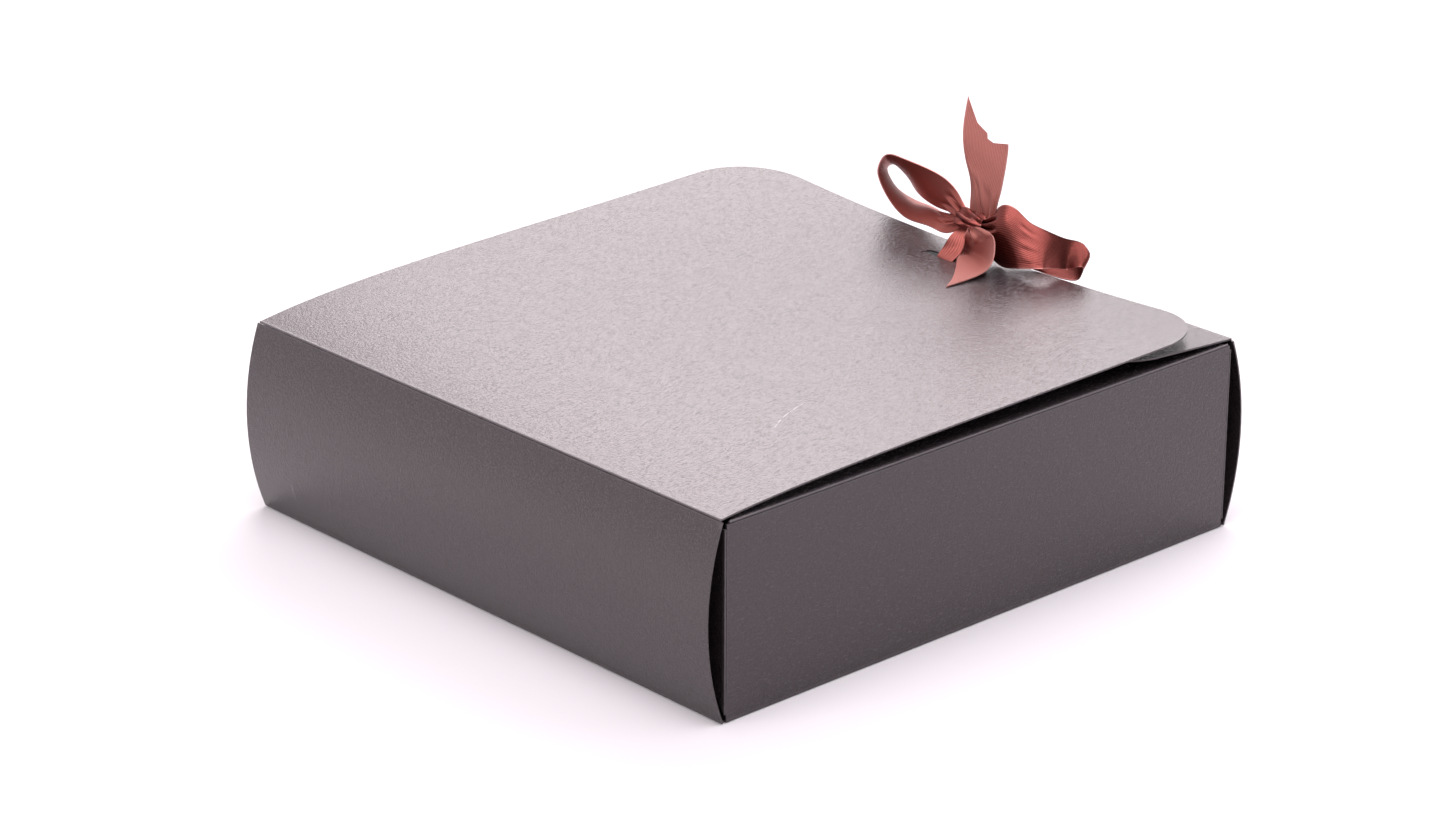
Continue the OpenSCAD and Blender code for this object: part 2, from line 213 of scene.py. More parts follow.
@dataclass
class Shell:
    """Closed sheet about a grid of middle points.

    The two faces lie half a thickness to each side of the middle points, along the
    grid's normals, and a rim closes every open edge, also round cells left out.
    """

    middle: Array
    half: Union[float, Array]
    keep: Union[Array, None] = None
    places: Union[Array, None] = None

    def faces(self) -> Array:
        """Corner numbers of all faces, four to a face."""
        rows, cols = self.middle.shape[:2]
        number = np.arange(rows * cols).reshape(rows, cols)
        keep = np.ones((rows - 1, cols - 1), bool) if self.keep is None else self.keep
        corner = (number[:-1, :-1], number[1:, :-1], number[1:, 1:], number[:-1, 1:])
        top = np.stack([c[keep] for c in corner], 1)
        ring = np.pad(keep, 1)
        beside = (ring[1:-1, :-2], ring[2:, 1:-1], ring[1:-1, 2:], ring[:-2, 1:-1])
        low = rows * cols
        rims = []
        for side in range(4):
            open_side = keep & ~beside[side]
            a = corner[side][open_side]
            b = corner[(side + 1) % 4][open_side]
            rims.append(np.stack([b, a, a + low, b + low], 1))
        return np.concatenate([top, top[:, ::-1] + low, *rims])

    def build(self, name: str) -> bpy.types.Object:
        """Makes the object.

        Args:
            name: Name of the object and its mesh.

        Returns:
            The object, linked into the scene at the origin.
        """
        out = grid_normals(self.middle) * np.broadcast_to(self.half, self.middle.shape[:2])[..., None]
        points = np.concatenate([(self.middle + out).reshape(-1, 3), (self.middle - out).reshape(-1, 3)])
        places = None
        if self.places is not None:
            places = np.tile(self.places.reshape(-1, 2), (2, 1))
        return put_mesh(name, points, self.faces(), places)


def put_mesh(name: str, points: Array, faces: Array, places: Union[Array, None] = None) -> bpy.types.Object:
    """Makes a mesh object from points in millimetres.

    Args:
        name: Name of the object and its mesh.
        points: Places of the vertices.
        faces: Corner numbers, four to a face.
        places: Place of each vertex on the flat ribbon, across and along, for the weave.

    Returns:
        The object, linked into the scene at the origin.
    """
    used, corners = np.unique(faces, return_inverse=True)
    corners = corners.reshape(-1, 4)
    mesh = bpy.data.meshes.new(name)
    mesh.from_pydata((points[used] * MM).tolist(), [], corners.tolist())
    if places is not None:
        layer = mesh.uv_layers.new(name="weave")
        layer.uv.foreach_set("vector", places[used][corners.ravel()].astype(np.float32).ravel())
    mesh.polygons.foreach_set("use_smooth", np.ones(len(corners), bool))
    mesh.set_sharp_from_angle(angle=SHARP_ANGLE)
    mesh.update()
    piece = bpy.data.objects.new(name, mesh)
    bpy.context.scene.collection.objects.link(piece)
    return piece


# Shader maths


class Sock:
    """A shader value with the usual operators; each one adds a Math node."""

    def __init__(self, bench: "Bench", socket: bpy.types.NodeSocket) -> None:
        """Wraps a socket of the bench's node tree."""
        self.bench = bench
        self.socket = socket

    def math(self, operation: str, *others: Any) -> "Sock":
        """The named Math operation on this value and the others."""
        inputs = dict(enumerate((self, *others)))
        return self.bench.get("ShaderNodeMath", "Value", {"operation": operation}, inputs)

    def __add__(self, other: Any) -> "Sock":
        """Sum."""
        return self.math("ADD", other)

    __radd__ = __add__

    def __sub__(self, other: Any) -> "Sock":
        """Difference."""
        return self.math("SUBTRACT", other)

    def __rsub__(self, other: float) -> "Sock":
        """Number less this value."""
        return self.bench.get("ShaderNodeMath", "Value", {"operation": "SUBTRACT"}, {0: other, 1: self})

    def __mul__(self, other: Any) -> "Sock":
        """Product."""
        return self.math("MULTIPLY", other)

    __rmul__ = __mul__

    def __truediv__(self, other: Any) -> "Sock":
        """Quotient."""
        return self.math("DIVIDE", other)

    def __abs__(self) -> "Sock":
        """Size without sign."""
        return self.math("ABSOLUTE")

    def most(self, other: Any) -> "Sock":
        """Larger of two values."""
        return self.math("MAXIMUM", other)

    def ease(self, low: float, high: float) -> "Sock":
        """Smooth step from 0 at low to 1 at high, which may be the smaller."""
        ends = {"From Min": low, "From Max": high, "To Min": 0.0, "To Max": 1.0}
        if low > high:
            ends = {"From Min": high, "From Max": low, "To Min": 1.0, "To Max": 0.0}
        settings = {"interpolation_type": "SMOOTHSTEP"}
        return self.bench.get("ShaderNodeMapRange", "Result", settings, {"Value": self, **ends})


class Bench:
    """One node tree and the means to add nodes to it."""

    def __init__(self, tree: bpy.types.NodeTree) -> None:
        """Clears the tree and takes it over."""
        self.tree = tree
        tree.nodes.clear()

    def add(self, kind: str, settings: Values = None, inputs: Values = None) -> bpy.types.Node:
        """Adds a node.

        Args:
            kind: Node type.
            settings: Values of the node itself, set first.
            inputs: Values or links of its sockets, by name or number.

        Returns:
            The node.
        """
        node = self.tree.nodes.new(kind)
        for key, value in (settings or {}).items():
            setattr(node, key, value)
        for key, value in (inputs or {}).items():
            socket = node.inputs[key]
            if isinstance(value, Sock):
                self.tree.links.new(value.socket, socket)
            elif isinstance(value, tuple) and socket.type == "RGBA":
                socket.default_value = (*value, 1.0)
            else:
                socket.default_value = value
        return node

    def get(self, kind: str, output: str, settings: Values = None, inputs: Values = None) -> Sock:
        """Adds a node, as add does, and returns the named output."""
        return Sock(self, self.add(kind, settings, inputs).outputs[output])

    def blend(self, share: Any, a: Any, b: Any) -> Sock:
        """Colour a turned into b by a share from 0 to 1."""
        node = self.add("ShaderNodeMix", {"data_type": "RGBA"}, {0: share, 6: a, 7: b})
        return Sock(self, node.outputs[2])

    def noise(self, vector: Sock, scale: float, detail: float = 2.0, rough: float = 0.5) -> Sock:
        """Noise of about 1 / scale in size, from 0 to 1."""
        inputs = {"Vector": vector, "Scale": scale, "Detail": detail, "Roughness": rough}
        return self.get("ShaderNodeTexNoise", "Fac", None, inputs)

    def axes(self, vector: Sock) -> tuple[Sock, Sock, Sock]:
        """The three parts of a vector."""
        node = self.add("ShaderNodeSeparateXYZ", None, {0: vector})
        return Sock(self, node.outputs[0]), Sock(self, node.outputs[1]), Sock(self, node.outputs[2])

    def bump(self, strength: float, depth: float, height: Sock) -> Sock:
        """Normal of a relief whose height of 1 is the given depth in millimetres."""
        inputs = {"Strength": strength, "Distance": depth * MM, "Height": height}
        return self.get("ShaderNodeBump", "Normal", None, inputs)

    def finish(self, shader: Sock, output: str = "ShaderNodeOutputMaterial") -> None:
        """Links a shader to the tree's output."""
        self.add(output, None, {"Surface": shader})


def new_material(name: str) -> tuple[bpy.types.Material, Bench]:
    """An empty node material and its bench."""
    material = bpy.data.materials.new(name)
    material.use_nodes = True
    return material, Bench(material.node_tree)


@dataclass(frozen=True)
class Scratch:
    """Thin line on a panel, in millimetres in the panel's plane."""

    start: Pair
    end: Pair
    bow: float
    half: float
    strength: float

    def line(self, p: Sock, q: Sock) -> Sock:
        """Line from start to end that bows sideways by 4 t (1 - t) times bow.

        Args:
            p: First coordinate in the panel's plane, in metres.
            q: Second coordinate.

        Returns:
            The strength on the line and 0 away from it.
        """
        run = math.dist(self.start, self.end)
        ux, uy = (self.end[0] - self.start[0]) / run, (self.end[1] - self.start[1]) / run
        dp, dq = p * (1 / MM) - self.start[0], q * (1 / MM) - self.start[1]
        t = (dp * ux + dq * uy) / run
        off = abs(dq * ux - dp * uy - t * (1.0 - t) * 4.0 * self.bow)
        ends = t.ease(0.0, 0.12) * t.ease(1.0, 0.85)
        return off.ease(self.half, 0.0) * ends * self.strength


SCRATCHES = {
    Mark.LID: (
        Scratch((-62.0, -81.0), (-36.0, -71.0), 1.6, 0.28, 1.0),
        Scratch((-33.0, -86.0), (-27.0, -79.0), 0.5, 0.2, 0.6),
    ),
    Mark.SIDE: (Scratch((97.8, 16.5), (97.2, 9.5), 0.2, 0.8, 0.35),),
    Mark.END: (Scratch((77.0, 1.0), (117.0, 12.5), 5.3, 0.4, 0.1),),
}


@dataclass(frozen=True)
class CardStock:
    """Matt solid board, dyed through, with a fibre grain and pale fold lines that are partly wear and
    partly painted highlight.
    """

    name: str
    mark: Mark
    dark: Colour = (0.03, 0.024, 0.026)
    light: Colour = (0.052, 0.042, 0.046)
    fibre: Colour = (0.13, 0.11, 0.118)
    # Colour of the fold lines: wear plus a painted highlight of the rounded folds.
    fold_wear_glint: Colour = (0.13, 0.115, 0.125)
    scuff: Colour = (0.5, 0.47, 0.48)
    gloss_tint: Colour = (1.0, 0.88, 0.915)
    hair_turns: tuple[Triple, Triple] = ((0.2, 0.1, 0.6), (0.1, 0.3, -0.7))
    hair_scale: Triple = (420.0, 2300.0, 2300.0)
    hair_cut: Pair = (0.62, 0.74)
    hair_share: float = 0.4
    hair_height: float = 0.25
    fold_wear_glint_share: float = 0.5
    bump: float = 0.7
    rough_grain: float = 0.16
    rough_cloud: float = 0.03
    gloss: float = 1.0
    rough: float = 0.21
    grain_size: float = 0.9
    grain_depth: float = 0.3
    crease_x: float = 119.7
    crease_y: float = 119.7
    lid_z: float = 69.7
    end_z: float = 68.5
    corner_x: float = 118.58
    foot_z: float = 0.3
    fold_width: float = 1.3

    def make(self) -> bpy.types.Material:
        """Builds the material on Object coordinates."""
        material, b = new_material(self.name)
        place = b.get("ShaderNodeTexCoord", "Object")
        grain = b.noise(place, 1000 / self.grain_size, 3.0, 0.6)
        cloud = b.noise(place, 16.0, 2.0)
        hairs = self.hairs(b, place)
        tone = (grain * 0.85 + cloud * 0.15).ease(0.25, 0.75)
        colour = b.blend(tone, self.dark, self.light)
        colour = b.blend(hairs * self.hair_share, colour, self.fibre)
        # Fold lines: partly wear, partly painted highlight where the rounded folds catch the light.
        colour = b.blend(self.folds(b, place) * self.fold_wear_glint_share, colour, self.fold_wear_glint)
        mark = self.marks(b, place)
        if mark is not None:
            colour = b.blend(mark, colour, self.scuff)
        rough = self.rough + (grain - 0.5) * self.rough_grain + (cloud - 0.5) * self.rough_cloud
        shader = b.get(
            "ShaderNodeBsdfPrincipled",
            "BSDF",
            None,
            {
                "Base Color": colour,
                "Roughness": rough,
                "IOR": 1.5,
                "Specular IOR Level": self.gloss,
                "Specular Tint": self.gloss_tint,
                "Normal": b.bump(self.bump, self.grain_depth, grain + hairs * self.hair_height),
            },
        )
        b.finish(shader)
        return material

    def hairs(self, b: Bench, place: Sock) -> Sock:
        """Short pale fibres in two directions: stretched noise, cut off near its peaks."""
        layers = []
        for turn in self.hair_turns:
            vector = b.get(
                "ShaderNodeMapping",
                "Vector",
                {"vector_type": "POINT"},
                {"Vector": place, "Rotation": turn, "Scale": self.hair_scale},
            )
            layers.append(b.noise(vector, 1.0, 1.0).ease(*self.hair_cut))
        return layers[0].most(layers[1])

    def folds(self, b: Bench, place: Sock) -> Sock:
        """Pale lines along the creases, by distance from each crease's axis: partly wear, partly a painted
        highlight of the rounded folds.
        """
        x, y, z = b.axes(place)
        side_x = abs(x) - self.crease_x * MM
        side_y = abs(y) - self.crease_y * MM
        corner = abs(x) - self.corner_x * MM
        pairs = (
            (side_x, z - self.lid_z * MM),
            (side_y, z - self.end_z * MM),
            (corner, side_y),
            (side_x, z - self.foot_z * MM),
            (side_y, z - self.foot_z * MM),
        )
        lines = [(p * p + q * q).ease((self.fold_width * MM) ** 2, 0.0) for p, q in pairs]
        return functools.reduce(Sock.most, lines) * (0.45 + b.noise(place, 300.0, 3.0) * 0.9)

    def marks(self, b: Bench, place: Sock) -> Union[Sock, None]:
        """Handling marks: the panel's thin lines, broken up by noise."""
        if self.mark is Mark.PLAIN:
            return None
        x, y, z = b.axes(place)
        plane = {Mark.LID: (x, y), Mark.SIDE: (y, z), Mark.END: (x, z)}[self.mark]
        lines = [scratch.line(*plane) for scratch in SCRATCHES[self.mark]]
        return functools.reduce(Sock.most, lines) * b.noise(place, 900.0, 2.0).ease(0.35, 0.6)


@dataclass(frozen=True)
class Satin:
    """Woven brown satin with fine lengthwise floats and a painted glint along its edges; the values given
    here are its bright face.
    """

    name: str = "satin_face"
    deep: Colour = (0.12, 0.025, 0.022)
    face: Colour = (0.27, 0.068, 0.056)
    glint: Colour = (0.62, 0.29, 0.26)
    rough: float = 0.3
    metal: float = 0.85
    sheen: float = 0.0
    sheen_tint: Colour = (1.0, 0.85, 0.82)
    float_depth: float = 0.05
    float_width: float = 0.75
    pick_width: float = 0.6
    width: float = 22.0
    selvedge_glint_band: Pair = (10.2, 10.9)
    edge_glint_share: float = 0.35
    rough_streak: float = 0.14
    streak_scale: Pair = (6.0, 0.5)
    bump: float = 0.5

    def make(self) -> bpy.types.Material:
        """Builds the material on the ribbon's own flat places, across and along, in millimetres."""
        material, b = new_material(self.name)
        flat = b.get("ShaderNodeUVMap", "UV", {"uv_map": "weave"})
        across, along, _ = b.axes(flat)
        fine, long = self.streak_scale
        stretched = b.get("ShaderNodeCombineXYZ", "Vector", None, {0: across * fine, 1: along * long})
        streak = b.noise(stretched, 1.0, 3.0, 0.6)
        wave = (across * (2 * math.pi / self.float_width) + streak * 2.0).math("SINE")
        picks = (along * (2 * math.pi / self.pick_width)).math("SINE")
        tone = (streak * 0.7 + wave * 0.25 + 0.15).ease(0.1, 0.9)
        colour = b.blend(tone, self.deep, self.face)
        # Painted highlight: a band along both edges is blended towards the glint colour. The same band also
        # raises the selvedge's relief.
        edge = abs(across - self.width / 2).ease(*self.selvedge_glint_band)
        colour = b.blend(edge * self.edge_glint_share, colour, self.glint)
        height = wave * 0.5 + picks * 0.12 + streak * 0.8 + edge * 0.6
        shader = b.get(
            "ShaderNodeBsdfPrincipled",
            "BSDF",
            None,
            {
                "Base Color": colour,
                "Roughness": self.rough + (streak - 0.5) * self.rough_streak,
                "Metallic": self.metal,
                "Specular IOR Level": 0.5,
                "Sheen Weight": self.sheen,
                "Sheen Tint": self.sheen_tint,
                "Normal": b.bump(self.bump, self.float_depth, height),
            },
        )
        b.finish(shader)
        return material


@dataclass(frozen=True)
class Tabletop:
    """White sweep with a pale shadow round the box; it fades to plain white at distances in metres."""

    name: str = "white_sweep"
    tint: Colour = (0.86, 0.84, 0.865)
    bounce: Colour = (0.28, 0.26, 0.27)
    shadow_share: float = 0.97
    fade_from: float = 0.35
    fade_to: float = 0.9

    def make(self) -> bpy.types.Material:
        """Builds the material.

        Rays that see the sweep meet a matt white near the box and plain white light far from
        it. Other rays meet a darker matt, so that little light bounces up.
        """
        material, b = new_material(self.name)
        seen = seen_rays(b)
        paper = b.blend(seen, self.bounce, self.tint)
        matt = b.get("ShaderNodeBsdfDiffuse", "BSDF", None, {"Color": paper})
        glow = b.get("ShaderNodeEmission", "Emission", None, {"Color": (1.0, 1.0, 1.0), "Strength": 1.0})
        x, y, _ = b.axes(b.get("ShaderNodeTexCoord", "Object"))
        far = (x * x + y * y).ease(self.fade_from**2, self.fade_to**2)
        white = seen * (1.0 - (1.0 - far) * self.shadow_share)
        shader = b.get("ShaderNodeMixShader", "Shader", None, {0: white, 1: matt, 2: glow})
        b.finish(shader)
        return material


def seen_rays(b: Bench) -> Sock:
    """1 for camera, gloss and transmission rays, else 0."""
    path = b.add("ShaderNodeLightPath")
    rays = [Sock(b, path.outputs[n]) for n in ("Is Camera Ray", "Is Glossy Ray", "Is Transmission Ray")]
    return rays[0].most(rays[1]).most(rays[2])


def dress(piece: bpy.types.Object, material: bpy.types.Material) -> None:
    """Gives a piece one material in its first slot."""
    if piece.data.materials:
        piece.data.materials[0] = material
    else:
        piece.data.materials.append(material)


# The box


@dataclass
class CardBox:
    """The folded blank: base, walls, ears, dust flaps and the two lid flaps."""

    width: float = 240.0
    length: float = 240.0
    height: float = 70.0
    board: float = 0.6
    bead: float = 0.42
    outer_reach: float = 234.0
    outer_corner: float = 28.0
    flap_inset: float = 1.0
    arch_rise: float = 5.0
    arch_run: float = 45.0
    arch_tilt: float = 1.4
    arch_curl: float = 1.0
    tip_sag: float = 2.0
    tip_tilt: float = 0.7
    tip_curl: float = 4.3
    inner_reach: float = 60.0
    inner_corner: float = 22.0
    inner_rise: float = 1.6
    inner_curl: float = 2.8
    slot_length: float = 16.0
    slot_width: float = 4.2
    slot_back: float = 14.0
    slot_shift: float = 0.7
    slot_y: float = 1.5
    slot_tip: float = 0.02
    calm_y: float = 30.0
    rim_half: float = 0.02
    bead_turn: Pair = (4.0, 130.0)
    bead_rows: int = 12
    row_step: int = 2
    corner_rows: int = 36
    calm_columns: int = 31
    wing_columns: int = 45
    slot_columns: int = 25

    @property
    def crease_x(self) -> float:
        """Distance of the side creases from the middle."""
        return self.width / 2 - self.board / 2

    @property
    def lid_z(self) -> float:
        """Height of the lid creases."""
        return self.height - self.board / 2

    @property
    def flap_half(self) -> float:
        """Half the width of the lid flaps."""
        return self.length / 2 - self.flap_inset

    def outer_height(self, q: Array, y: Array) -> Array:
        """Height of the outer flap's middle at distance q from its crease.

        It springs up as 1 - exp(-q / run), more towards its edges, and the free edge adds
        a cubic that sags in the middle and curls up at the corners.
        """
        v = y / self.flap_half
        reach = np.maximum(q, 0.0)
        rise = self.arch_rise + self.arch_tilt * v + self.arch_curl * v**2
        spring = rise * (1 - np.exp(-reach / self.arch_run))
        tip = (reach / self.outer_reach) ** 3 * (self.tip_curl * v**2 + self.tip_tilt * v - self.tip_sag)
        return self.lid_z + spring + tip

    def inner_height(self, q: Array, y: Array) -> Array:
        """Height of the inner flap's middle: a straight rise that curls up at the corners."""
        v = y / self.flap_half
        rise = self.inner_rise + self.inner_curl * v**2
        return self.lid_z + np.maximum(q, 0.0) / self.inner_reach * rise

    def flap_side(self, q: Array, reach: float, corner: float) -> Array:
        """Half width of a flap with rounded corners at distance q from its crease."""
        into = np.clip(q - reach + corner, 0.0, corner)
        return self.flap_half - corner + np.sqrt(corner**2 - into**2)

    def flap_rows(self, reach: float, corner: float, cut: Sequence[float] = ()) -> Array:
        """Distances of a flap's rows from its crease.

        Args:
            reach: How far the flap reaches.
            corner: Radius of its corners.
            cut: Near and far side of a slot, which get a row each and none between them.

        Returns:
            Rising distances, close on the bead and round the corners.
        """
        nose = -self.bead * np.cos(np.radians(np.linspace(*self.bead_turn, self.bead_rows)))
        straight = reach - corner
        body = np.linspace(0.8, straight, int(straight) // self.row_step)[:-1]
        tip = straight + corner * np.sin(np.radians(np.linspace(0, 90, self.corner_rows)))
        rows = np.concatenate([nose, body, tip])
        if cut:
            rows = rows[(rows < cut[0] - self.board) | (rows > cut[1] + self.board)]
        return np.unique(np.concatenate([rows, cut]))

    def thickness(self, q: Array) -> Array:
        """Half thickness at distance q: a round bead on the crease that runs into the board."""
        bead = np.sqrt(np.maximum(self.bead**2 - q**2, self.rim_half**2))
        return np.where(q < 0, bead, np.maximum(bead, self.board / 2))

    def flap_columns(self, side: Array, extra: Union[Array, Sequence[float]] = ()) -> Array:
        """Sideways places of each row's points.

        Lines within calm_y of the middle run straight; those outside spread evenly out
        to the row's own half width.
        """
        straight = np.linspace(-self.calm_y, self.calm_y, self.calm_columns)
        calm = np.unique(np.concatenate([straight, extra]))
        share = np.linspace(0.0, 1.0, self.wing_columns + 1)[1:]
        wing = self.calm_y + (side[:, None] - self.calm_y) * share[None, :]
        middle = np.broadcast_to(calm, (len(side), len(calm)))
        return np.concatenate([-wing[:, ::-1], middle, wing], axis=1)

    def outer_flap(self) -> bpy.types.Object:
        """The large lid flap, with a slot that is rounded at its ends.

        At a share t of the slot's half length from its middle, it keeps sqrt(1 - t^4) of its width.
        """
        slot_q = self.outer_reach - self.slot_back - self.slot_shift
        near, far = slot_q - self.slot_width / 2, slot_q + self.slot_width / 2
        ends = (self.slot_y - self.slot_length / 2, self.slot_y + self.slot_length / 2)
        q = self.flap_rows(self.outer_reach, self.outer_corner, (near, far))
        side = self.flap_side(q, self.outer_reach, self.outer_corner)
        y = self.flap_columns(side, np.linspace(*ends, self.slot_columns))
        q = np.broadcast_to(q[:, None], y.shape)
        lens = np.sqrt(np.clip(1 - ((y - self.slot_y) / (self.slot_length / 2)) ** 4, self.slot_tip, 1))
        pull = np.where(np.isclose(q, near), 1.0, np.where(np.isclose(q, far), -1.0, 0.0))
        inside = (y >= ends[0]) & (y <= ends[1])
        q = q + np.where(inside, pull * (1 - lens) * self.slot_width / 2, 0.0)
        x = q - self.crease_x
        grid = np.stack([x, y, self.outer_height(q, y)], -1)
        mid_q = (q[:-1, :-1] + q[1:, 1:]) / 2
        mid_y = (y[:-1, :-1] + y[1:, 1:]) / 2
        cut = (mid_q > near) & (mid_q < far) & (mid_y > ends[0]) & (mid_y < ends[1])
        return Shell(grid, self.thickness(q), ~cut).build("lid_flap")

    def inner_flap(self) -> bpy.types.Object:
        """The short lid flap under the large one."""
        q = self.flap_rows(self.inner_reach, self.inner_corner)
        y = self.flap_columns(self.flap_side(q, self.inner_reach, self.inner_corner))[:, ::-1]
        q = np.broadcast_to(q[:, None], y.shape)
        grid = np.stack([self.crease_x - q, y, self.inner_height(q, y)], -1)
        return Shell(grid, self.thickness(q)).build("inner_lid_flap")

    def build(self, nodes: dict[str, bpy.types.Object]) -> None:
        """Makes the flaps and gives every card piece its finish.

        Args:
            nodes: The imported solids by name.
        """
        plain = CardStock("card_plain", Mark.PLAIN, gloss=0.8).make()
        lid = CardStock("card_lid", Mark.LID, rough=0.23, grain_depth=0.28).make()
        side = CardStock("card_side", Mark.SIDE, gloss=0.85).make()
        end = CardStock("card_end", Mark.END, gloss=0.68).make()
        finishes = {"hinge_wall": side, "front_wall": end}
        remade = ("outer_flap", "inner_flap")
        for name, solid in nodes.items():
            if name not in remade and not name.startswith("ribbon"):
                dress(solid, finishes.get(name, plain))
                log.info("card panel %s", name)
        for flap, node, body, finish in (
            (self.outer_flap(), "outer_flap", "lid", lid),
            (self.inner_flap(), "inner_flap", "inner_flap", plain),
        ):
            dress(flap, finish)
            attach(flap, body)
            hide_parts(node)
            log.info("card flap %s", flap.name)


# The bow


@dataclass
class RibbonBow:
    """One length of ribbon, tied through the lid's slot: strands, knot, loops and tails.

    The loops, the tails and the strand into the slot are smooth surfaces through small nets
    of points, given in the bow's own axes: to the right, up and to the front of the knot, as
    someone who faces it sees it. The knot and the strand under the flap are formulas.
    """

    box: CardBox
    width: float = 22.0
    half: float = 0.12
    gap: float = 0.3
    knot_back: float = 4.0
    knot_y: float = -2.5
    knot_lift: float = 12.0
    knot_length: float = 13.0
    knot_radius: float = 3.6
    knot_pleats: int = 7
    knot_pleat: float = 0.65
    knot_turn: Pair = (-200.0, 190.0)
    knot_layer: float = 0.35
    knot_rows: int = 201
    knot_end: float = 0.5
    knot_waist: float = 0.12
    turn: float = 42.6
    tilt: float = 21.5
    strap: float = 9.0
    strap_spread: Pair = (1.3, 0.7)
    layer_gap: float = 0.3
    stem_layers: float = 3.0
    under_layers: float = 2.5
    under_rows: tuple[int, int, int] = (40, 18, 60)
    hem_from: float = 0.93
    hem_swell: float = 0.6
    back_crown: float = 6.0
    rows: int = 161
    cols: int = 49

    @property
    def edge_x(self) -> float:
        """Where the outer flap's free edge lies."""
        return self.box.outer_reach - self.box.crease_x

    @property
    def strap_y(self) -> float:
        """Middle of the strand through the slot."""
        return (self.box.slot_y + self.knot_y) / 2

    @property
    def slot_top(self) -> float:
        """Height of the card's upper face at the slot."""
        q = np.array(self.box.outer_reach - self.box.slot_back)
        return float(self.box.outer_height(q, np.array(self.strap_y))) + self.box.board / 2

    @property
    def knot_at(self) -> Array:
        """Middle of the knot."""
        return point(self.edge_x - self.knot_back, self.knot_y, self.slot_top + self.knot_lift)

    @property
    def axes(self) -> Array:
        """The bow's own axes as rows: right, up and front."""
        turn, tilt = math.radians(self.turn), math.radians(self.tilt)
        right = point(math.cos(turn), -math.sin(turn), 0.0)
        front = point(-math.sin(turn) * math.cos(tilt), -math.cos(turn) * math.cos(tilt), math.sin(tilt))
        return np.stack([right, np.cross(front, right), front])

    def net(self, guides: Sequence[Sequence[tuple]], at: Sequence[float]) -> Array:
        """Smooth surface through a net of points.

        A natural cubic runs along each guide, at shares of the guides' mean length, and
        another runs across the guides.

        Args:
            guides: Lines of as many points each, to the right, up and front of the knot.
            at: Place of each guide across the ribbon, from 0 to 1.

        Returns:
            Grid of points in the scene's axes, rows along the ribbon.
        """
        lines = np.array(guides, float) @ self.axes + self.knot_at
        steps = np.linalg.norm(np.diff(lines, axis=1), axis=2).mean(axis=0)
        along = np.concatenate([[0.0], np.cumsum(steps)]) / steps.sum()
        ruled = thread(lines.swapaxes(0, 1), along, np.linspace(0.0, 1.0, self.rows))
        across = np.linspace(0.0, 1.0, self.cols)
        return thread(ruled.swapaxes(0, 1), np.array(at, float), across).swapaxes(0, 1)

    def gathers(
        self, grid: Array, count: float, most: float, lean: float = 0.0, end: float = 24.0
    ) -> Array:
        """Grid with gathers that take up the width which the net lacks.

        Their depth grows with the root of width squared less the net's own width squared,
        up to a largest depth, and they run along the ribbon as waves across it.

        Args:
            grid: Surface to be gathered.
            count: Number of gathers across.
            most: Largest depth.
            lean: Shift of the waves along the rows, in turns.
            end: Distance from the knot at which they have died out.

        Returns:
            The gathered surface.
        """
        v = np.linspace(0.0, 1.0, grid.shape[1])[None, :]
        row = np.linspace(0.0, 1.0, grid.shape[0])[:, None]
        own = np.linalg.norm(np.diff(grid, axis=1), axis=2).sum(axis=1)[:, None]
        depth = np.minimum(most, np.sqrt(np.maximum(self.width**2 - own**2, 0.0)) / (4 * count))
        away = np.linalg.norm(grid.mean(axis=1) - self.knot_at, axis=1)[:, None]
        depth = depth * ease(0.0, 0.25, 1 - own / self.width) * ease(end, end / 3, away)
        broad = np.sin(2 * math.pi * (count * v + lean * row))
        fine = np.sin(2 * math.pi * (1.7 * count * v - lean * row + 0.3))
        return shifted(grid, depth * (broad + 0.35 * fine))

    def piece(
        self,
        node: str,
        kind: str,
        grid: Array,
        length: float,
        held: Held,
        rests: Sequence[str],
        longest: float = 0.0,
    ) -> bpy.types.Object:
        """Makes one length of ribbon from its middle surface.

        Args:
            node: The solid that it replaces.
            kind: Last word of the piece's name, after the solid's.
            grid: Points, rows along the ribbon and columns across it.
            length: Its mean length along the flat ribbon; not used.
            held: How it is held; not used.
            rests: What it lies on or hangs from; not used.
            longest: Length of its longer side, where the cut is slanted; not used.

        Returns:
            The piece, riding on the lid.
        """
        along = run_of(grid.mean(axis=1))
        across = np.linspace(0.0, self.width, grid.shape[1])
        places = np.stack(np.broadcast_arrays(across[None, :], along[:, None]), -1)
        rim = np.abs(np.linspace(-1, 1, grid.shape[1]))[None, :]
        swell = 1 + self.hem_swell * ease(self.hem_from, 1.0, rim)
        half = self.half * swell * np.ones((grid.shape[0], 1))
        made = Shell(grid, half, None, places).build(f"{node}_{kind}")
        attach(made, "lid")
        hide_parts(node)
        log.info("ribbon piece %s", made.name)
        return made

    def stem(self) -> bpy.types.Object:
        """Strand from the knot down through the slot, folded in three and fanned out towards the card."""
        left = [
            (-3, -1.5, -3), (-7.75, -5.25, -1), (-9.5, -8, -1.5), (-11.1, -10.6, -2.2),
            (-12.5, -12.7, -2.1), (-13.2, -13.75, -3.4),
        ]
        right = [
            (-1, -1.5, -1), (-2.6, -6.25, 1.5), (-3.2, -9.25, 2), (-5.3, -12.4, 2.6),
            (-8.25, -15.25, 3.6), (-8.35, -16.2, 2.2),
        ]
        edges = self.net([left, right], [0, 1])
        grid = folded(edges[:, 0], edges[:, -1], self.stem_layers, self.layer_gap, self.cols)
        return self.piece("ribbon_stem", "strand", grid, 17.0, Held.FOLDED, ["outer_flap"])

